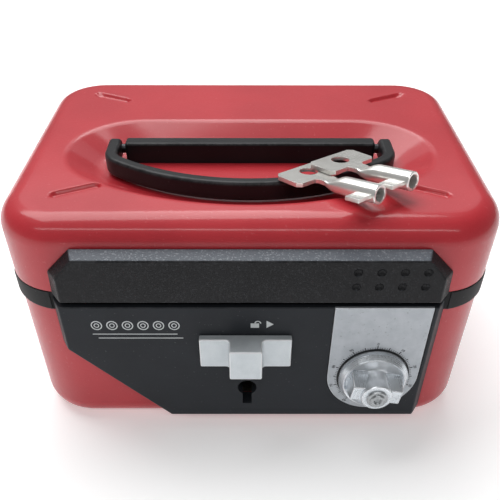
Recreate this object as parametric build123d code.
from build123d import *
import math
import os

# Small steel cash box with a combination dial, a sliding latch, a key lock and a carrying handle.
# Millimetres. Origin: centre of the underside. +X right, -Y front, +Z up.

# ---- Case ----
WIDTH, DEPTH, HEIGHT = 152.0, 114.4, 80.0
CORNER_R = 19.0            # plan corners of the lid
EDGE_R = 8.0               # rounded edge round the lid top and the base underside
SHEET = 0.9                # steel sheet
BASE_INSET = 0.6           # the base is this much smaller than the lid all round
PARTING_Z = 56.5           # top of the seam band
LID_Z = 56.8               # lower edge of the lid
BAND_Z = 50.0              # lower edge of the visible seam band
SHELL_TOP_Z = 54.5         # upper edge of the base sheet, hidden inside the band
BAND_PROUD = 0.3
BAND_SKIRT = 1.1           # plastic inside the base sheet
LIP_TOP_Z, LIP_GAP, LIP_WALL = 60.0, 0.5, 1.2
FRONT_NOTCH, BACK_NOTCH = 61.5, 45.5   # half widths left open for the front panel and the hinge

LID_FRONT_Y = -DEPTH / 2
LID_BACK_Y = DEPTH / 2
BASE_FRONT_Y = LID_FRONT_Y + BASE_INSET
BASE_BACK_Y = LID_BACK_Y - BASE_INSET
BASE_IN_Y = BASE_FRONT_Y + SHEET

# ---- Pressed recess in the lid top ----
DISH_DEPTH = 6.5
DISH_WALL = 10.0           # plan width of the sloping wall
DISH_END_X, DISH_END_Y, DISH_END_R = 36.2, -9.4, 24.8
DISH_FRONT_Y = -46.0
DISH_FLOOR_Z = HEIGHT - DISH_DEPTH
GROOVE_OUT, GROOVE_IN = (59.1, 40.5), (46.5, 34.0)
GROOVE_R, GROOVE_SINK = 1.6, 0.9

# ---- Handle ----
STRIP_HALF, STRIP_BACK_Y, STRIP_FRONT_Y, STRIP_TOP_Z = 42.4, 0.0, -5.4, 80.3
PIVOT_Y, PIVOT_Z, PIVOT_R = -2.7, 77.5, 1.5
BAIL_X, BAIL_CORNER_R, BAIL_FRONT_R, BAIL_FRONT_Y = 48.0, 10.0, 70.0, -34.2
BAIL_WIDE, BAIL_HALF_HIGH = 4.2, 3.1
BAIL_EASE, STRIP_CORNER, STRIP_EASE, PIVOT_HOLE_X, PIN_PROUD = 0.9, 1.2, 0.8, 38.0, 0.3
UNDER_Z, WASHER, WASHER_R, HANDLE_HOLE = DISH_FLOOR_Z - SHEET, 0.6, 3.2, 5.0
RUNNING = 0.05             # radial clearance of a running fit

# ---- Front plastics ----
PANEL_Y = LID_FRONT_Y - 5.0
PANEL_WALL, RIM, KEYHOLE_RIM, KEYHOLE_EASE = 1.8, 2.0, 1.3, 0.8
TOP_Z, COVER_Z = 54.8, 56.3   # top of the lower panel, lower edge of the upper cover
COVER_FRONT = [(-57.0, COVER_Z), (57.0, COVER_Z), (56.8, 64.8), (51.0, 71.1), (-51.0, 71.1), (-56.8, 64.8)]
COVER_BACK = [(-60.5, COVER_Z), (60.5, COVER_Z), (60.2, 64.7), (52.4, 72.3), (-52.4, 72.3), (-60.2, 64.7)]
PANEL_FRONT = [(-58.0, TOP_Z), (-58.0, 38.0), (-27.5, 7.5), (57.0, 7.5), (57.0, TOP_Z)]
PANEL_BACK = [(-60.8, TOP_Z), (-60.8, 36.6), (-29.5, 6.6), (60.3, 6.6), (60.3, TOP_Z)]
PILLAR_R, CASE_PILLAR_R = 3.0, 2.6
PILLAR_Y, HOLE_END_Y, SCREW_TIP_Y = PANEL_Y + 1.0, PANEL_Y + 2.2, PANEL_Y + 2.6
DIMPLE_X = [31.0 + 6.73 * i for i in range(4)]
DIMPLE_Z = [62.3, 67.3]
DIMPLE_R, DIMPLE_SINK = 1.3, 0.7

# ---- Dial ----
DIAL_X, DIAL_Z = 40.6, 26.5
PLATE_HALF, PLATE_THICK, PLATE_SINK, PLATE_GAP = 15.0, 0.8, 0.6, 0.25
PLATE_FACE_Y = PANEL_Y + PLATE_SINK - PLATE_THICK
KNOB_BACK_Y, KNOB_RIM_Y, KNOB_R, KNOB_BEVEL = -62.7, -66.6, 11.4, 1.2
HUB_R, HUB_Y, CAP_R, CAP_Y, CAP_STEP = 5.2, -72.8, 3.4, -74.3, 0.9
PLUG_R, PLUG_END_Y = 1.5, -71.0
WING_REACH, WING_WIDE, WING_Y = 8.4, 7.0, -71.6
WING_TURN = 8.0            # the wings rest this far clockwise of level, degrees
SPINDLE_R, SPINDLE_FRONT_Y, BUSH_R, BUSH_BACK_Y = 2.5, -68.5, 3.9, -53.4
NUT_R, NUT_THICK = 6.0, 2.0

# ---- Slider and latch ----
SLIDER_LEFT, SLIDER_RIGHT, SLIDER_LOW, SLIDER_HIGH = -16.0, 13.0, 32.8, 44.1
BLOCK_LEFT, BLOCK_RIGHT = -6.5, 3.7
SLIDER_GAP, SLIDER_FILLET, SLIDER_EASE = 0.2, 1.2, 0.4
WING_FACE_Y, BLOCK_FACE_Y = PANEL_Y - 2.5, PANEL_Y - 8.5
LATCH_TRAVEL = 8.0
SLIP = 0.3                 # gap between flat sliding faces
STEM_LEFT, STEM_RIGHT, STEM_LOW, STEM_HIGH = -5.9, 3.9, 35.0, 42.0
SLIDER_SCREW_X, SLIDER_SCREW_Z, SLIDER_SCREW_LONG = [-3.5, 1.5], 38.5, 6.4
SPRING_X, SPRING_Y, SPRING_Z, SPRING_WIRE, SPRING_R, SPRING_TURNS = 20.2, -52.9, 38.5, 0.35, 1.7, 10
BOLT_Y0, BOLT_Y1 = -54.6, -53.4
BOLT_LEFT, BOLT_RIGHT, BOLT_LOW, BOLT_HIGH = -11.5, 20.0, 33.5, 43.0
TAB_LEFT, TAB_RIGHT, TAB_Z = 0.0, 3.0, 30.4      # the key bolt stops the bolt plate here
LEG_LEFT, EAR_LEFT, EAR_Z, EAR_Y = 14.0, 18.8, (36.0, 41.0), -51.6
STRIKER_LEFT, STRIKER_RIGHT, MOUTH = -26.0, -18.0, 3.5
NOSE_Z, NOSE_Y1 = (36.5, 40.5), -51.6
NOSE_GAP = 0.4             # the nose stands just short of the striker at rest
HOOK_Y0, HOOK_Y1, HOOK_LOW_Z = -53.0, -51.8, 34.0
STRIKER_LOW_Z, STRIKER_HIGH_Z, STRIKER_THICK = 58.0, 66.0, 1.2
WINDOW_GAP = 0.6           # room above and below the nose in the hook and in the lock case

# ---- Key lock ----
KEYHOLE_X, KEYHOLE_Z, KEYHOLE_R, KEYHOLE_HALF_SLOT, KEYHOLE_FOOT_Z = -1.0, 21.0, 3.2, 1.55, 13.4
KEY_BOLT_LEFT, KEY_BOLT_RIGHT, KEY_BOLT_LOW, KEY_BOLT_HIGH = 3.6, 7.6, 12.0, 29.0
LEDGE_LEFT, LEDGE_BACK_Y, LEDGE_RISE, LEDGE_THICK = -6.0, -45.0, 4.0, 1.5
GUIDE_BACK_Y, GUIDE_TOP_Z, GUIDE_SHEET, GUIDE_FOOT_Y = -51.4, 19.5, 1.0, -44.0
POST_R, POST_FRONT_Y, COLLAR_R, COLLAR = 1.7, -55.0, 3.0, 1.2   # the key's hollow barrel slides over the post
CASE_LEFT, CASE_RIGHT, CASE_LOW, CASE_HIGH, CASE_BACK_Y = -13.5, 56.0, 9.5, 49.3, -39.0
CASE_SHEET = 1.0

# ---- Combination wheels: front faces, thickness ----
WHEEL_R, WHEEL_THICK = 9.0, 1.8
WHEEL_FACES = {"wheel_1": -52.5, "wheel_2": -49.9}
CAM_FACE = -47.3
WHEEL_HUB_R, WHEEL_HUB, PICK_UP_R, PICK_UP_AT, PICK_UP = 4.2, 0.4, 0.8, 6.0, 0.7
GATE_HALF, GATE_DEPTH = 1.7, 3.6
FENCE_HALF, FENCE_LEFT, FENCE_TIP_X, FENCE_END_Y = 1.3, 18.6, 26.3, -45.2
SPINDLE_END_Y, CLIP_Y, CLIP_THICK, CLIP_BITE, CLIP_HALF_SLOT = -42.6, -44.6, 0.8, 0.6, 1.7

# ---- Hinge ----
HINGE_Y, HINGE_Z, KNUCKLE_R, HINGE_PIN_R = 59.7, 56.65, 2.1, 1.0
HINGE_HALF, KNUCKLES, LEAF, KNUCKLE_GAP = 45.0, 9, 0.8, 0.15
LEAF_LOW_Z, LEAF_HIGH_Z, LEAF_GAP = 40.0, 70.0, 0.2
PIN_HEAD_R, PIN_HEAD = 1.5, 0.6

# ---- Coin tray ----
TRAY_HALF_X, TRAY_FRONT_Y, TRAY_BACK_Y, TRAY_Z, TRAY_TOP_Z, TRAY_WALL = 69.5, -35.5, 51.0, 30.0, 54.0, 1.5
TRAY_SPLIT_Y, TRAY_R, WELL_R, INNER_WELL_R, WELLS = 4.5, 12.0, 10.0, 4.0, 4
REST_Y, REST_HALF, REST_REACH, REST_THICK, REST_DROP = [-20.0, 30.0], 5.0, 9.0, 1.2, 9.0

# ---- Keys ----
BARREL_R, BARREL_BORE, BARREL_LONG, KEY_SHEET = 2.8, 1.9, 17.8, 1.2
BORE_START, SEAM_HALF, BOW_CORNER, NECK_END = 2.5, 0.15, 1.2, 1.0
BOW_NEAR, BOW_FAR, BOW_HALF, NECK_HALF = -4.2, -14.7, 9.9, 2.6
KEY_HOLE_X, KEY_HOLE_R = -10.0, 2.9
BIT_LONG, BIT_REACH, BIT_BACK = 5.0, 5.4, 1.0
AXIS_DROP, BARREL_RISE = 0.3, 6.0      # the barrel starts just under the bow sheet and bends up, degrees
KEY_TURN, KEY_RISE, KEY_ROLL = -48.0, 4.0, -4.0
FRONT_KEY_NECK = (24.6, -37.3, 82.5)
REAR_KEY_NECK = (34.9, -30.9, 83.25)


def block(x0, x1, y0, y1, z0, z1):
    return Pos((x0 + x1) / 2, (y0 + y1) / 2, (z0 + z1) / 2) * Box(x1 - x0, y1 - y0, z1 - z0)


def rod_x(y, z, r, x0, x1):
    return Pos((x0 + x1) / 2, y, z) * Rot(0, 90, 0) * Cylinder(r, x1 - x0)


def rod_y(x, z, r, y0, y1):
    return Pos(x, (y0 + y1) / 2, z) * Rot(90, 0, 0) * Cylinder(r, y1 - y0)


def rod_z(x, y, r, z0, z1):
    return Pos(x, y, (z0 + z1) / 2) * Cylinder(r, z1 - z0)


def outline_xz(points, y):
    """A closed polygon standing in the plane y = constant."""
    return make_face(Polyline([(x, y, z) for x, z in points], close=True))


def drafted(back, y_back, front, y_front):
    """A moulding whose sides taper from its back outline to its front outline."""
    return loft([outline_xz(back, y_back), outline_xz(front, y_front)], ruled=True)


def shrink(points, centre, by):
    """Move each point of an outline towards its centre by about the same distance along x and z."""
    cx, cz = centre
    return [(x - math.copysign(by, x - cx), z - math.copysign(by, z - cz)) for x, z in points]


def pan(inset, z0, z1, round_low=False, round_high=False):
    """A rounded block of the case's plan, smaller by inset, with its low or high edge rounded."""
    plan = RectangleRounded(WIDTH - 2 * inset, DEPTH - 2 * inset, CORNER_R - inset)
    body = Pos(0, 0, z0) * extrude(plan, z1 - z0)
    if round_low:
        body = fillet(body.edges().group_by(Axis.Z)[0], EDGE_R - (inset if inset >= SHEET else 0))
    if round_high:
        body = fillet(body.edges().group_by(Axis.Z)[-1], EDGE_R - (inset if inset >= SHEET else 0))
    return body


def ring(inset_out, inset_in, z0, z1):
    return pan(inset_out, z0, z1) - pan(inset_in, z0 - 1, z1 + 1)


def dish_outline(inset):
    """The recess outline: straight back, two round ends and a long front arc, all tangent."""
    r_end = DISH_END_R - inset
    low, cx, cy = DISH_FRONT_Y + inset, DISH_END_X, DISH_END_Y
    # centre height of the front arc that touches both end circles from outside them
    k = r_end + low
    yc = (cx * cx + cy * cy - k * k) / (2 * (cy - k))
    r_front = yc - low
    scale = r_front / math.hypot(cx, cy - yc)
    tx, ty = cx * scale, yc + (cy - yc) * scale
    back = cy + r_end
    turn = math.radians(20)
    mx, my = cx + r_end * math.cos(turn), cy + r_end * math.sin(turn)
    edges = [
        Line((-cx, back), (cx, back)),
        ThreePointArc((cx, back), (mx, my), (tx, ty)),
        ThreePointArc((tx, ty), (0, low), (-tx, ty)),
        ThreePointArc((-tx, ty), (-mx, my), (-cx, back)),
    ]
    return make_face(edges)


def dish(grow, drop):
    """The space of the recess; grow and drop move its wall and floor outwards."""
    slope = DISH_WALL / DISH_DEPTH
    above = 2.0   # the space runs on this far over the lid
    top = Pos(0, 0, HEIGHT + above) * dish_outline(-grow - above * slope)
    floor = Pos(0, 0, DISH_FLOOR_Z - drop) * dish_outline(DISH_WALL - grow + drop * slope)
    return loft([floor, top], ruled=True)


def groove(sx, sy):
    """One of the four short round-ended grooves pressed at the corners of the lid top."""
    a = Vector(sx * GROOVE_OUT[0], sy * GROOVE_OUT[1])
    b = Vector(sx * GROOVE_IN[0], sy * GROOVE_IN[1])
    mid, span = (a + b) * 0.5, (b - a).length
    angle = math.degrees(math.atan2(b.Y - a.Y, b.X - a.X))
    bar = Cylinder(GROOVE_R, span)
    bar += Pos(0, 0, span / 2) * Sphere(GROOVE_R) + Pos(0, 0, -span / 2) * Sphere(GROOVE_R)
    return Pos(mid.X, mid.Y, HEIGHT + GROOVE_R - GROOVE_SINK) * Rot(0, 0, angle) * Rot(0, 90, 0) * bar


def screw_y(x, z, y_tip, y_head):
    """A slotted screw along Y with its head at y_head, the head lying further back."""
    body = rod_y(x, z, SCREW_R, y_tip, y_head) + rod_y(x, z, HEAD_R, y_head, y_head + HEAD)
    slot_y = y_head + HEAD - SLOT_DEEP
    return body - block(x - HEAD_R, x + HEAD_R, slot_y, slot_y + 1, z - SLOT_HALF, z + SLOT_HALF)


def rivet_y(x, z, head_r, y0, y1):
    """A rivet along Y through y0 to y1 with a flat head on both ends."""
    heads = rod_y(x, z, head_r, y0 - RIVET_HEAD, y0) + rod_y(x, z, head_r, y1, y1 + RIVET_HEAD)
    return rod_y(x, z, RIVET_R, y0, y1) + heads


def keyhole(y0, y1, ease=0.0):
    slot = KEYHOLE_HALF_SLOT + ease
    hole = rod_y(KEYHOLE_X, KEYHOLE_Z, KEYHOLE_R + ease, y0, y1)
    return hole + block(KEYHOLE_X - slot, KEYHOLE_X + slot, y0, y1, KEYHOLE_FOOT_Z - ease, KEYHOLE_Z)


def slider_slot(y0, y1):
    gap = SLIP
    return block(STEM_LEFT - gap, STEM_RIGHT + LATCH_TRAVEL + gap, y0, y1, STEM_LOW - gap, STEM_HIGH + gap)


# ---- Where the fasteners are ----
PANEL_SCREWS = [(-50.0, 44.0), (-24.0, 16.0)]
COVER_SCREWS = [(-40.0, 64.0), (0.0, 64.0), (40.0, 64.0)]
CASE_SCREWS = [(-9.5, 46.2), (30.0, 12.5), (52.5, 46.2), (52.5, 12.5)]
STRIKER_RIVETS = [(-24.0, 62.5), (-20.0, 62.5)]
HINGE_RIVET_X = [-36.0, -12.0, 12.0, 36.0]
HINGE_BASE_RIVET_Z, HINGE_LID_RIVET_Z = 46.0, 65.0
HANDLE_SCREW_X = [-30.0, 30.0]
SCREW_R, HEAD_R, HEAD, SLOT_HALF, SLOT_DEEP = 1.2, 2.4, 1.4, 0.3, 0.5
RIVET_R, RIVET_HEAD, STRIKER_HEAD_R, HINGE_HEAD_R = 1.1, 0.7, 2.0, 2.1


# ---- Case ----
def base_shell():
    body = pan(BASE_INSET, 0, SHELL_TOP_Z, round_low=True)
    body -= pan(BASE_INSET + SHEET, SHEET, SHELL_TOP_Z + 1, round_low=True)
    y0, y1 = BASE_FRONT_Y - 1, BASE_IN_Y + 1
    body -= slider_slot(y0, y1)
    body -= keyhole(y0, y1, ease=KEYHOLE_EASE)
    body -= rod_y(DIAL_X, DIAL_Z, BUSH_R, y0, y1)
    for x, z in PANEL_SCREWS + CASE_SCREWS:
        body -= rod_y(x, z, SCREW_R, y0, y1)
    for x in HINGE_RIVET_X:
        body -= rod_y(x, HINGE_BASE_RIVET_Z, RIVET_R, BASE_BACK_Y - 2, BASE_BACK_Y + 1)
    return body


def seam_band():
    """Plastic band over the base's edge, with the lip that centres the lid."""
    outside = ring(-BAND_PROUD, BASE_INSET, BAND_Z, PARTING_Z)
    over = ring(BASE_INSET, BASE_INSET + SHEET, SHELL_TOP_Z, PARTING_Z)
    skirt_in = BASE_INSET + SHEET + BAND_SKIRT
    skirt = ring(BASE_INSET + SHEET, skirt_in, BAND_Z + 1, PARTING_Z)
    lip_out = SHEET + LIP_GAP
    lip = ring(lip_out, lip_out + LIP_WALL, PARTING_Z - 1, LIP_TOP_Z)
    body = outside + over + skirt + lip
    reach, high = BAND_PROUD + 2, PARTING_Z + 1
    body -= block(-FRONT_NOTCH, FRONT_NOTCH, LID_FRONT_Y - reach, BASE_FRONT_Y, BAND_Z - 1, high)
    body -= block(-BACK_NOTCH, BACK_NOTCH, BASE_BACK_Y, LID_BACK_Y + reach, BAND_Z - 1, high)
    # room for the striker
    left, right, deep = STRIKER_LEFT - 1.5, STRIKER_RIGHT + 1.5, BASE_IN_Y + 5
    body -= block(left, right, BASE_IN_Y, deep, BAND_Z, LIP_TOP_Z + 1)
    body -= block(left, right, LID_FRONT_Y, deep, PARTING_Z, LIP_TOP_Z + 1)
    return body


def lid_shell():
    body = pan(0, LID_Z, HEIGHT, round_high=True) - dish(0, 0)
    hollow = pan(SHEET, LID_Z - 1, HEIGHT - SHEET, round_high=True) - dish(SHEET, SHEET)
    body -= hollow
    for sx in (-1, 1):
        for sy in (-1, 1):
            body -= groove(sx, sy)
    for x, z in COVER_SCREWS:
        body -= rod_y(x, z, SCREW_R, LID_FRONT_Y - 1, LID_FRONT_Y + 3)
    for x, z in STRIKER_RIVETS:
        body -= rod_y(x, z, RIVET_R, LID_FRONT_Y - 1, LID_FRONT_Y + 3)
    for x in HINGE_RIVET_X:
        body -= rod_y(x, HINGE_LID_RIVET_Z, RIVET_R, LID_BACK_Y - 3, LID_BACK_Y + 1)
    for x in HANDLE_SCREW_X:
        body -= rod_z(x, PIVOT_Y, SCREW_R, DISH_FLOOR_Z - 3, DISH_FLOOR_Z + 1)
    return body


# ---- Front plastics ----
def hollow_moulding(back, front, y_back, y_front, centre):
    """A drafted moulding, open at the back, with walls of even thickness."""
    body = drafted(back, y_back, front, y_front)
    inner_back = shrink(back, centre, PANEL_WALL)
    inner_front = shrink(front, centre, PANEL_WALL)
    return body - drafted(inner_back, y_back + 0.01, inner_front, y_front + PANEL_WALL)


def upper_cover():
    body = hollow_moulding(COVER_BACK, COVER_FRONT, LID_FRONT_Y, PANEL_Y, (0, 64.0))
    for x, z in COVER_SCREWS:
        body += rod_y(x, z, PILLAR_R, PILLAR_Y, LID_FRONT_Y)
        body -= rod_y(x, z, SCREW_R, HOLE_END_Y, LID_FRONT_Y + 1)
    for x, z in STRIKER_RIVETS:
        body -= rod_y(x, z, STRIKER_HEAD_R + WINDOW_GAP, LID_FRONT_Y - RIVET_HEAD - SLIP, LID_FRONT_Y + 1)
    ball_r = (DIMPLE_R ** 2 + DIMPLE_SINK ** 2) / (2 * DIMPLE_SINK)
    for x in DIMPLE_X:
        for z in DIMPLE_Z:
            body -= Pos(x, PANEL_Y - ball_r + DIMPLE_SINK, z) * Sphere(ball_r)
    return body


def plate_outline(half, top_z):
    """Straight sides, level top and a half-round foot about the dial."""
    low = [
        Line((DIAL_X - half, DIAL_Z), (DIAL_X - half, top_z)),
        Line((DIAL_X - half, top_z), (DIAL_X + half, top_z)),
        Line((DIAL_X + half, top_z), (DIAL_X + half, DIAL_Z)),
        ThreePointArc((DIAL_X + half, DIAL_Z), (DIAL_X, DIAL_Z - half), (DIAL_X - half, DIAL_Z)),
    ]
    return make_face(low)


def plate_block(half, top_z, y0, y1):
    solid = extrude(plate_outline(half, top_z), y1 - y0)
    return Pos(0, y1, 0) * Rot(90, 0, 0) * solid


def lower_panel():
    body = hollow_moulding(PANEL_BACK, PANEL_FRONT, BASE_FRONT_Y, PANEL_Y, (0, 30.0))
    for x, z in PANEL_SCREWS:
        body += rod_y(x, z, PILLAR_R, PILLAR_Y, BASE_FRONT_Y)
    for x, z in CASE_SCREWS:
        body += rod_y(x, z, CASE_PILLAR_R, PILLAR_Y, BASE_FRONT_Y)
    for x, z in PANEL_SCREWS + CASE_SCREWS:
        body -= rod_y(x, z, SCREW_R, HOLE_END_Y, BASE_FRONT_Y + 1)
    # solid rims round the dial's bush, the slider's slot and the keyhole
    body += rod_y(DIAL_X, DIAL_Z, BUSH_R + RIM, PILLAR_Y, BASE_FRONT_Y)
    body += block(STEM_LEFT - SLIP - RIM, STEM_RIGHT + LATCH_TRAVEL + SLIP + RIM, PILLAR_Y, BASE_FRONT_Y,
                  STEM_LOW - RIM, STEM_HIGH + RIM)
    y0, y1 = PANEL_Y - 1, BASE_FRONT_Y + 1
    body -= slider_slot(y0, y1)
    body -= rod_y(DIAL_X, DIAL_Z, BUSH_R, y0, y1)
    body += keyhole(PILLAR_Y, BASE_FRONT_Y, ease=KEYHOLE_RIM)
    body -= keyhole(y0, y1)
    body -= plate_block(PLATE_HALF + PLATE_GAP, TOP_Z + 2, y0, PANEL_Y + PLATE_SINK)
    return body


def dial_plate():
    body = plate_block(PLATE_HALF, TOP_Z, PLATE_FACE_Y, PANEL_Y + PLATE_SINK)
    return body - rod_y(DIAL_X, DIAL_Z, BUSH_R + PLATE_GAP, PLATE_FACE_Y - 1, PANEL_Y + PLATE_SINK + 1)


def group(shapes):
    return Compound(children=list(shapes))


def panel_screws():
    return group(screw_y(x, z, SCREW_TIP_Y, BASE_IN_Y) for x, z in PANEL_SCREWS)


def cover_screws():
    return group(screw_y(x, z, SCREW_TIP_Y, LID_FRONT_Y + SHEET) for x, z in COVER_SCREWS)


# ---- Lock case ----
def lock_case():
    """A sheet box, open towards the front wall, with four corner posts for its screws."""
    body = block(CASE_LEFT, CASE_RIGHT, BASE_IN_Y, CASE_BACK_Y, CASE_LOW, CASE_HIGH)
    t = CASE_SHEET
    body -= block(CASE_LEFT + t, CASE_RIGHT - t, BASE_IN_Y - 1, CASE_BACK_Y - t, CASE_LOW + t, CASE_HIGH - t)
    for x, z in CASE_SCREWS:
        body += rod_y(x, z, CASE_PILLAR_R, BASE_IN_Y, CASE_BACK_Y)
    for x, z in CASE_SCREWS:
        body -= rod_y(x, z, SCREW_R, BASE_IN_Y - 1, CASE_BACK_Y + 1)
    # window for the nose of the bolt in the left wall
    nose_low, nose_high = NOSE_Z
    body -= block(CASE_LEFT - 1, CASE_LEFT + t, BOLT_Y0 - SLIP, NOSE_Y1 + SLIP,
                  nose_low - WINDOW_GAP, nose_high + WINDOW_GAP)
    body -= rod_y(KEYHOLE_X, KEYHOLE_Z, POST_R, CASE_BACK_Y - t - 1, CASE_BACK_Y + 1)
    return body


def lock_case_screws():
    return group(screw_y(x, z, SCREW_TIP_Y, CASE_BACK_Y) for x, z in CASE_SCREWS)


def key_post():
    """Pin that centres the key, with a collar against the back of the lock case."""
    collar_y = CASE_BACK_Y - CASE_SHEET
    body = rod_y(KEYHOLE_X, KEYHOLE_Z, POST_R, POST_FRONT_Y, CASE_BACK_Y)
    return body + rod_y(KEYHOLE_X, KEYHOLE_Z, COLLAR_R, collar_y - COLLAR, collar_y)


def spindle_bush():
    body = rod_y(DIAL_X, DIAL_Z, BUSH_R, PANEL_Y, BUSH_BACK_Y)
    return body - rod_y(DIAL_X, DIAL_Z, SPINDLE_R + RUNNING, PANEL_Y - 1, BUSH_BACK_Y + 1)


def bush_nut():
    hexagon = extrude(RegularPolygon(NUT_R, 6), NUT_THICK)
    body = Pos(DIAL_X, BASE_IN_Y + NUT_THICK, DIAL_Z) * Rot(90, 0, 0) * hexagon
    return body - rod_y(DIAL_X, DIAL_Z, BUSH_R, BASE_IN_Y - 1, BASE_IN_Y + NUT_THICK + 1)


def key_bolt_guide():
    """A folded bracket on the floor of the lock case that keeps the key bolt upright."""
    left, right = KEY_BOLT_LEFT - SLIP, KEY_BOLT_RIGHT + SLIP
    floor, fold = CASE_LOW + CASE_SHEET, GUIDE_SHEET
    body = block(left - fold, left, BOLT_Y0, GUIDE_BACK_Y, floor, GUIDE_TOP_Z)
    body += block(right, right + fold, BOLT_Y0, GUIDE_BACK_Y, floor, GUIDE_TOP_Z)
    body += block(left - fold, right + fold, GUIDE_BACK_Y - fold, GUIDE_BACK_Y, floor, GUIDE_TOP_Z)
    return body + block(left - fold, right + fold, GUIDE_BACK_Y - fold, GUIDE_FOOT_Y, floor, floor + fold)


# ---- Sliding latch ----
def slider_button():
    """A low bar with a tall square block in its middle, and a stem that runs in the slot."""
    back_y = PANEL_Y - SLIDER_GAP
    bar = block(SLIDER_LEFT, SLIDER_RIGHT, WING_FACE_Y, back_y, SLIDER_LOW, SLIDER_HIGH)
    grip = block(BLOCK_LEFT, BLOCK_RIGHT, BLOCK_FACE_Y, back_y, SLIDER_LOW, SLIDER_HIGH)
    body = bar + grip
    inner = [e for e in body.edges().filter_by(Axis.Z).group_by(Axis.Y)[1]
             if BLOCK_LEFT - 0.1 < e.center().X < BLOCK_RIGHT + 0.1]
    body = fillet(inner, SLIDER_FILLET)
    body = chamfer(body.edges().group_by(Axis.Y)[0], SLIDER_EASE)
    body += block(STEM_LEFT, STEM_RIGHT, back_y - 1, BOLT_Y0, STEM_LOW, STEM_HIGH)
    for x in SLIDER_SCREW_X:
        body -= rod_y(x, SLIDER_SCREW_Z, SCREW_R, BOLT_Y0 - SLIDER_SCREW_LONG - SLIP, BOLT_Y0 + 1)
    return body


def bolt_plate():
    """Flat bolt: nose to the left, tab for the key bolt below, leg with the fence to the right."""
    body = block(BOLT_LEFT, BOLT_RIGHT, BOLT_Y0, BOLT_Y1, BOLT_LOW, BOLT_HIGH)
    body += block(STRIKER_RIGHT + NOSE_GAP, BOLT_LEFT, BOLT_Y0, NOSE_Y1, *NOSE_Z)
    body += block(TAB_LEFT, TAB_RIGHT, BOLT_Y0, BOLT_Y1, TAB_Z, BOLT_LOW)
    body += block(LEG_LEFT, BOLT_RIGHT, BOLT_Y0, BOLT_Y1, DIAL_Z - FENCE_HALF, BOLT_LOW)
    body += block(FENCE_LEFT, FENCE_TIP_X, BOLT_Y0, FENCE_END_Y, DIAL_Z - FENCE_HALF, DIAL_Z + FENCE_HALF)
    body += block(EAR_LEFT, BOLT_RIGHT, BOLT_Y0, EAR_Y, *EAR_Z)
    for x in SLIDER_SCREW_X:
        body -= rod_y(x, SLIDER_SCREW_Z, SCREW_R, BOLT_Y0 - 1, BOLT_Y1 + 1)
    return body


def slider_screws():
    return group(screw_y(x, SLIDER_SCREW_Z, BOLT_Y0 - SLIDER_SCREW_LONG, BOLT_Y1) for x in SLIDER_SCREW_X)


def latch_spring():
    """Compression spring between the bolt's ear and the right wall of the lock case."""
    length = CASE_RIGHT - CASE_SHEET - SLIDER_GAP - SPRING_X - 2 * SPRING_WIRE
    path = Helix(pitch=length / SPRING_TURNS, height=length, radius=SPRING_R)
    section = Plane(origin=Vector(SPRING_R, 0, 0), z_dir=path % 0) * Circle(SPRING_WIRE)
    body = sweep(section, path=path, is_frenet=True)
    return Pos(SPRING_X + SPRING_WIRE, SPRING_Y, SPRING_Z) * Rot(0, 90, 0) * body


def striker():
    """Strap riveted inside the lid, hanging down to a hook beside the bolt's nose."""
    inside = LID_FRONT_Y + SHEET
    fold_z = STRIKER_LOW_Z + STRIKER_THICK
    strap = block(STRIKER_LEFT, STRIKER_RIGHT, inside, inside + STRIKER_THICK, STRIKER_LOW_Z, STRIKER_HIGH_Z)
    step = block(STRIKER_LEFT, STRIKER_RIGHT, inside, HOOK_Y1, STRIKER_LOW_Z, fold_z)
    drop = block(STRIKER_LEFT, STRIKER_RIGHT, HOOK_Y0, HOOK_Y1, HOOK_LOW_Z, fold_z)
    body = strap + step + drop
    # mouth that the bolt's nose enters
    nose_low, nose_high = NOSE_Z
    body -= block(STRIKER_RIGHT - MOUTH, STRIKER_RIGHT + 1, HOOK_Y0 - 1, HOOK_Y1 + 1,
                  nose_low - WINDOW_GAP, nose_high + WINDOW_GAP)
    for x, z in STRIKER_RIVETS:
        body -= rod_y(x, z, RIVET_R, inside - 1, inside + 3)
    return body


def striker_rivets():
    inside = LID_FRONT_Y + SHEET
    return group(rivet_y(x, z, STRIKER_HEAD_R, LID_FRONT_Y, inside + STRIKER_THICK)
                 for x, z in STRIKER_RIVETS)


def key_bolt():
    """Upright bolt lifted by the key's bit; raised, its top stands in the way of the bolt plate's tab."""
    body = block(KEY_BOLT_LEFT, KEY_BOLT_RIGHT, BOLT_Y0, BOLT_Y1, KEY_BOLT_LOW, KEY_BOLT_HIGH)
    ledge_z = KEYHOLE_Z + LEDGE_RISE
    ledge = block(LEDGE_LEFT, KEY_BOLT_RIGHT, BOLT_Y1, LEDGE_BACK_Y, ledge_z, ledge_z + LEDGE_THICK)
    return body + ledge


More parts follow.
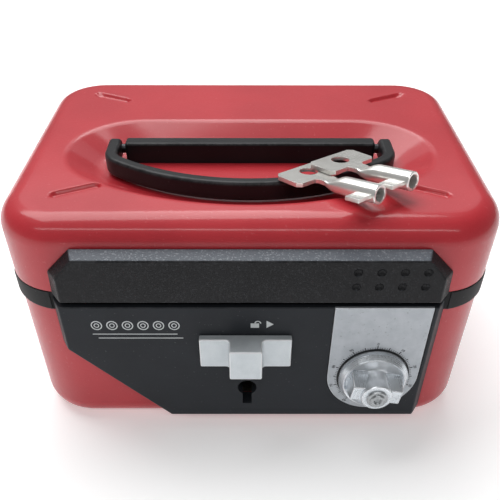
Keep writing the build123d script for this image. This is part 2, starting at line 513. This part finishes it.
# ---- Dial and wheels ----
def dial_knob():
    """Round skirt with a dished face, a hub, and two square wings."""
    profile = Polyline(
        (0, KNOB_BACK_Y), (KNOB_R, KNOB_BACK_Y), (KNOB_R, KNOB_RIM_Y + KNOB_BEVEL),
        (KNOB_R - KNOB_BEVEL, KNOB_RIM_Y), (KNOB_R - 2.0, KNOB_RIM_Y), (HUB_R + 1.0, KNOB_RIM_Y + 1.6),
        (HUB_R, KNOB_RIM_Y + 1.4), (HUB_R, HUB_Y), (0, HUB_Y), close=True)
    body = Pos(DIAL_X, 0, DIAL_Z) * revolve(make_face(profile), Axis.Y)
    wings = block(-WING_REACH, WING_REACH, WING_Y, KNOB_RIM_Y + 1.7, -WING_WIDE / 2, WING_WIDE / 2)
    wings = chamfer(wings.edges().group_by(Axis.Y)[0], 0.5)
    body += Pos(DIAL_X, 0, DIAL_Z) * Rot(0, WING_TURN, 0) * wings
    body -= rod_y(DIAL_X, DIAL_Z, SPINDLE_R, SPINDLE_FRONT_Y, KNOB_BACK_Y + 1)
    body -= rod_y(DIAL_X, DIAL_Z, PLUG_R, HUB_Y - 1, PLUG_END_Y + 1)
    return body


def knob_cap():
    """Stepped round plug closing the screw well in the knob's hub."""
    step_y = (CAP_Y + HUB_Y) / 2
    body = rod_y(DIAL_X, DIAL_Z, CAP_R, step_y, HUB_Y)
    body += rod_y(DIAL_X, DIAL_Z, CAP_R - CAP_STEP, CAP_Y, step_y)
    return body + rod_y(DIAL_X, DIAL_Z, PLUG_R, HUB_Y, PLUG_END_Y)


def dial_spindle():
    body = rod_y(DIAL_X, DIAL_Z, SPINDLE_R, SPINDLE_FRONT_Y, SPINDLE_END_Y)
    groove_cut = rod_y(DIAL_X, DIAL_Z, SPINDLE_R + 1, CLIP_Y, CLIP_Y + CLIP_THICK)
    groove_cut -= rod_y(DIAL_X, DIAL_Z, SPINDLE_R - CLIP_BITE, CLIP_Y - 1, CLIP_Y + 2)
    return body - groove_cut


def gated_disc(face_y, bore_r):
    """A disc with a gate on its left and one opposite, and its hub."""
    body = rod_y(DIAL_X, DIAL_Z, WHEEL_R, face_y, face_y + WHEEL_THICK)
    for side in (-1, 1):
        x0 = DIAL_X + side * (WHEEL_R - GATE_DEPTH)
        x1 = DIAL_X + side * (WHEEL_R + 1)
        body -= block(min(x0, x1), max(x0, x1), face_y - 1, face_y + WHEEL_THICK + 1,
                      DIAL_Z - GATE_HALF, DIAL_Z + GATE_HALF)
    body += rod_y(DIAL_X, DIAL_Z, WHEEL_HUB_R, face_y, face_y + WHEEL_THICK + WHEEL_HUB)
    return body - rod_y(DIAL_X, DIAL_Z, bore_r, face_y - 1, face_y + WHEEL_THICK + 2)


def pick_up(face_y, angle, side):
    """A driving pin standing from a disc's face, towards the back if side is 1."""
    a = math.radians(angle)
    x, z = DIAL_X + PICK_UP_AT * math.cos(a), DIAL_Z + PICK_UP_AT * math.sin(a)
    y0, y1 = sorted((face_y, face_y + side * PICK_UP))
    return rod_y(x, z, PICK_UP_R, y0, y1)


def wheel(name, angle):
    face = WHEEL_FACES[name]
    body = gated_disc(face, SPINDLE_R + RUNNING)
    return body + pick_up(face + WHEEL_THICK, angle, 1)


def drive_cam():
    return gated_disc(CAM_FACE, SPINDLE_R) + pick_up(CAM_FACE, 120, -1)


def spindle_clip():
    body = rod_y(DIAL_X, DIAL_Z, WHEEL_HUB_R, CLIP_Y, CLIP_Y + CLIP_THICK)
    body -= rod_y(DIAL_X, DIAL_Z, SPINDLE_R - CLIP_BITE, CLIP_Y - 1, CLIP_Y + 2)
    left, right = DIAL_X - CLIP_HALF_SLOT, DIAL_X + CLIP_HALF_SLOT
    return body - block(left, right, CLIP_Y - 1, CLIP_Y + 2, DIAL_Z - WHEEL_HUB_R - 1, DIAL_Z)


# ---- Hinge ----
def knuckles(first, bore):
    span, gap = 2 * HINGE_HALF / KNUCKLES, KNUCKLE_GAP
    parts = []
    for i in range(first, KNUCKLES, 2):
        x0 = -HINGE_HALF + i * span + gap
        tube = rod_x(HINGE_Y, HINGE_Z, KNUCKLE_R, x0, x0 + span - 2 * gap)
        parts.append((x0, x0 + span - 2 * gap, tube - rod_x(HINGE_Y, HINGE_Z, bore, x0 - 1, x0 + span)))
    return parts


def hinge_base_leaf():
    """Leaf on the outside of the base's back wall, joined to the odd knuckles."""
    body = block(-HINGE_HALF, HINGE_HALF, BASE_BACK_Y, BASE_BACK_Y + LEAF, LEAF_LOW_Z, TOP_Z)
    for x0, x1, tube in knuckles(0, HINGE_PIN_R):
        tab = block(x0, x1, BASE_BACK_Y, HINGE_Y, HINGE_Z - KNUCKLE_R, HINGE_Z - KNUCKLE_R + LEAF)
        body += (tab - rod_x(HINGE_Y, HINGE_Z, HINGE_PIN_R, x0 - 1, x1 + 1)) + tube
    for x in HINGE_RIVET_X:
        body -= rod_y(x, HINGE_BASE_RIVET_Z, RIVET_R, BASE_BACK_Y - 1, BASE_BACK_Y + 2)
    return body


def hinge_lid_leaf():
    """Leaf on the outside of the lid's back wall, joined to the even knuckles."""
    low = HINGE_Z + KNUCKLE_R + LEAF_GAP
    body = block(-HINGE_HALF, HINGE_HALF, LID_BACK_Y, LID_BACK_Y + LEAF, low, LEAF_HIGH_Z)
    for x0, x1, tube in knuckles(1, HINGE_PIN_R + RUNNING):
        tab = block(x0, x1, LID_BACK_Y, HINGE_Y, HINGE_Z + KNUCKLE_R - LEAF, HINGE_Z + KNUCKLE_R)
        tab += block(x0, x1, LID_BACK_Y, LID_BACK_Y + LEAF, HINGE_Z + KNUCKLE_R - LEAF, low + 0.5)
        body += (tab - rod_x(HINGE_Y, HINGE_Z, HINGE_PIN_R + RUNNING, x0 - 1, x1 + 1)) + tube
    for x in HINGE_RIVET_X:
        body -= rod_y(x, HINGE_LID_RIVET_Z, RIVET_R, LID_BACK_Y - 1, LID_BACK_Y + 2)
    return body


def hinge_pin():
    body = rod_x(HINGE_Y, HINGE_Z, HINGE_PIN_R, -HINGE_HALF, HINGE_HALF)
    for side in (-1, 1):
        x0, x1 = sorted((side * HINGE_HALF, side * (HINGE_HALF + PIN_HEAD)))
        body += rod_x(HINGE_Y, HINGE_Z, PIN_HEAD_R, x0, x1)
    return body


def hinge_base_rivets():
    y0, y1 = BASE_BACK_Y - SHEET, BASE_BACK_Y + LEAF
    return group(rivet_y(x, HINGE_BASE_RIVET_Z, HINGE_HEAD_R, y0, y1) for x in HINGE_RIVET_X)


def hinge_lid_rivets():
    y0, y1 = LID_BACK_Y - SHEET, LID_BACK_Y + LEAF
    return group(rivet_y(x, HINGE_LID_RIVET_Z, HINGE_HEAD_R, y0, y1) for x in HINGE_RIVET_X)


# ---- Carrying handle ----
def handle_strip():
    depth = STRIP_BACK_Y - STRIP_FRONT_Y
    plan = RectangleRounded(2 * STRIP_HALF, depth, STRIP_CORNER)
    body = Pos(0, PIVOT_Y, DISH_FLOOR_Z) * extrude(plan, STRIP_TOP_Z - DISH_FLOOR_Z)
    body = fillet(body.edges().group_by(Axis.Z)[-1], STRIP_EASE)
    for side in (-1, 1):
        ends = sorted((side * PIVOT_HOLE_X, side * (STRIP_HALF + 1)))
        body -= rod_x(PIVOT_Y, PIVOT_Z, PIVOT_R, *ends)
    for x in HANDLE_SCREW_X:
        body -= rod_z(x, PIVOT_Y, SCREW_R, DISH_FLOOR_Z - 1, DISH_FLOOR_Z + HANDLE_HOLE)
    return body


def bail_plan(inset):
    """Plan of the handle: two straight legs, round corners and a long front arc."""
    x, r, cx = BAIL_X - inset, BAIL_CORNER_R - inset, BAIL_X - BAIL_CORNER_R
    big, front = BAIL_FRONT_R - inset, BAIL_FRONT_Y + inset
    yc = front + big
    cy = yc - math.sqrt((big - r) ** 2 - cx ** 2)
    scale = big / (big - r)
    tx, ty = cx * scale, yc + (cy - yc) * scale
    turn = math.radians(-25)
    mx, my = cx + r * math.cos(turn), cy + r * math.sin(turn)
    return make_face([
        Line((-x, PIVOT_Y), (x, PIVOT_Y)),
        Line((x, PIVOT_Y), (x, cy)),
        ThreePointArc((x, cy), (mx, my), (tx, ty)),
        ThreePointArc((tx, ty), (0, front), (-tx, ty)),
        ThreePointArc((-tx, ty), (-mx, my), (-x, cy)),
        Line((-x, cy), (-x, PIVOT_Y)),
    ])


def handle_bail():
    low = PIVOT_Z - BAIL_HALF_HIGH
    body = Pos(0, 0, low) * extrude(bail_plan(0), 2 * BAIL_HALF_HIGH)
    inner = Pos(0, 0, low - 1) * extrude(bail_plan(BAIL_WIDE), 2 * BAIL_HALF_HIGH + 2)
    body -= inner
    body -= block(-BAIL_X + BAIL_WIDE, BAIL_X - BAIL_WIDE, PIVOT_Y - 1, PIVOT_Y + 1, low - 1, low + 8)
    rims = body.edges().group_by(Axis.Z)[-1] + body.edges().group_by(Axis.Z)[0]
    body = fillet(rims.filter_by(lambda e: e.center().Y < PIVOT_Y - 0.5), BAIL_EASE)
    for side in (-1, 1):
        ends = sorted((side * (BAIL_X - BAIL_WIDE), side * BAIL_X))
        body += rod_x(PIVOT_Y, PIVOT_Z, BAIL_HALF_HIGH, *ends)
        body -= rod_x(PIVOT_Y, PIVOT_Z, PIVOT_R + RUNNING, ends[0] - 1, ends[1] + 1)
    return body


def handle_pins():
    pins = []
    for side in (-1, 1):
        x0, x1 = sorted((side * PIVOT_HOLE_X, side * (BAIL_X + PIN_PROUD)))
        pins.append(rod_x(PIVOT_Y, PIVOT_Z, PIVOT_R, x0, x1))
    return group(pins)


def handle_washers():
    return group(rod_z(x, PIVOT_Y, WASHER_R, UNDER_Z - WASHER, UNDER_Z)
                 - rod_z(x, PIVOT_Y, SCREW_R, UNDER_Z - 2, UNDER_Z + 1) for x in HANDLE_SCREW_X)


def handle_screws():
    head_z = UNDER_Z - WASHER
    return group(rod_z(x, PIVOT_Y, SCREW_R, head_z, DISH_FLOOR_Z + HANDLE_HOLE - SLIP)
                 + rod_z(x, PIVOT_Y, HEAD_R, head_z - HEAD, head_z) for x in HANDLE_SCREW_X)


# ---- Coin tray ----
def coin_tray():
    """Lift-out tray: a row of four coin wells in front of one long well for notes."""
    body = block(-TRAY_HALF_X, TRAY_HALF_X, TRAY_FRONT_Y, TRAY_BACK_Y, TRAY_Z, TRAY_TOP_Z)
    body = fillet(body.edges().filter_by(Axis.Z), TRAY_R)
    wall = TRAY_WALL
    pitch = (2 * TRAY_HALF_X - wall) / WELLS
    for i in range(WELLS):
        x0 = -TRAY_HALF_X + wall + i * pitch
        well = block(x0, x0 + pitch - wall, TRAY_FRONT_Y + wall, TRAY_SPLIT_Y, TRAY_Z + wall, TRAY_TOP_Z + 1)
        body -= fillet(well.edges().filter_by(Axis.Z), WELL_R if i in (0, WELLS - 1) else INNER_WELL_R)
    back = block(-TRAY_HALF_X + wall, TRAY_HALF_X - wall, TRAY_SPLIT_Y + wall, TRAY_BACK_Y - wall,
                 TRAY_Z + wall, TRAY_TOP_Z + 1)
    return body - fillet(back.edges().filter_by(Axis.Z), WELL_R)


def tray_rests():
    """Four brackets on the base's side walls under the ends of the tray."""
    side_x = WIDTH / 2 - BASE_INSET - SHEET
    rests = []
    for side in (-1, 1):
        for y in REST_Y:
            y0, y1 = y - REST_HALF, y + REST_HALF
            x0, x1 = sorted((side * (side_x - REST_REACH), side * side_x))
            shelf = block(x0, x1, y0, y1, TRAY_Z - REST_THICK, TRAY_Z)
            x0, x1 = sorted((side * (side_x - REST_THICK), side * side_x))
            rests.append(shelf + block(x0, x1, y0, y1, TRAY_Z - REST_DROP, TRAY_Z))
    return group(rests)


# ---- Keys ----
def key():
    """A key folded from sheet: bow to the left, rolled barrel to the right, a square bit by its end."""
    half = KEY_SHEET / 2
    bow = block(BOW_FAR, BOW_NEAR, -BOW_HALF, BOW_HALF, -half, half)
    bow = chamfer(bow.edges().filter_by(Axis.Z), BOW_CORNER)
    bow += block(BOW_NEAR - 1, NECK_END, -NECK_HALF, NECK_HALF, -half, half)
    bow -= rod_z(KEY_HOLE_X, 0, KEY_HOLE_R, -2, 2)
    barrel = rod_x(0, 0, BARREL_R, 0, BARREL_LONG)
    bit_end = BARREL_LONG - BIT_BACK
    bit = block(bit_end - BIT_LONG, bit_end, -BARREL_R - BIT_REACH, 0, -half, half)
    bore = rod_x(0, 0, BARREL_BORE, BORE_START, BARREL_LONG + 1)
    seam = block(BORE_START, BARREL_LONG + 1, -SEAM_HALF, SEAM_HALF, -BARREL_R - 1, 0)
    shank = Pos(0, 0, -AXIS_DROP) * Rot(0, -BARREL_RISE, 0) * (barrel + bit - bore - seam)
    return bow + shank


def lying(neck):
    return Pos(*neck) * Rot(0, 0, KEY_TURN) * Rot(0, -KEY_RISE, 0) * Rot(KEY_ROLL, 0, 0) * key()


def front_key():
    """Bow across the front of the handle, barrel over the edge of the recess."""
    return lying(FRONT_KEY_NECK)


def rear_key():
    """Lies with the edge of its bow on the front key's bow."""
    return lying(REAR_KEY_NECK)


PARTS = {
    "base_shell": base_shell, "seam_band": seam_band, "lower_panel": lower_panel, "dial_plate": dial_plate,
    "panel_screws": panel_screws, "lock_case": lock_case, "lock_case_screws": lock_case_screws,
    "key_post": key_post, "spindle_bush": spindle_bush, "bush_nut": bush_nut,
    "key_bolt_guide": key_bolt_guide, "tray_rests": tray_rests,
    "hinge_base_leaf": hinge_base_leaf, "hinge_base_rivets": hinge_base_rivets, "hinge_pin": hinge_pin,
    "lid_shell": lid_shell, "upper_cover": upper_cover, "cover_screws": cover_screws,
    "striker": striker, "striker_rivets": striker_rivets,
    "hinge_lid_leaf": hinge_lid_leaf, "hinge_lid_rivets": hinge_lid_rivets,
    "handle_strip": handle_strip, "handle_screws": handle_screws, "handle_washers": handle_washers,
    "handle_pins": handle_pins, "handle_bail": handle_bail,
    "slider_button": slider_button, "bolt_plate": bolt_plate, "slider_screws": slider_screws,
    "latch_spring": latch_spring, "key_bolt": key_bolt,
    "dial_knob": dial_knob, "knob_cap": knob_cap, "dial_spindle": dial_spindle, "drive_cam": drive_cam,
    "spindle_clip": spindle_clip, "coin_tray": coin_tray, "front_key": front_key, "rear_key": rear_key,
}

os.makedirs("parts", exist_ok=True)
for name, make in PARTS.items():
    export_step(make(), f"parts/{name}.step")
export_step(wheel("wheel_1", 40), "parts/wheel_1.step")
export_step(wheel("wheel_2", 80), "parts/wheel_2.step")
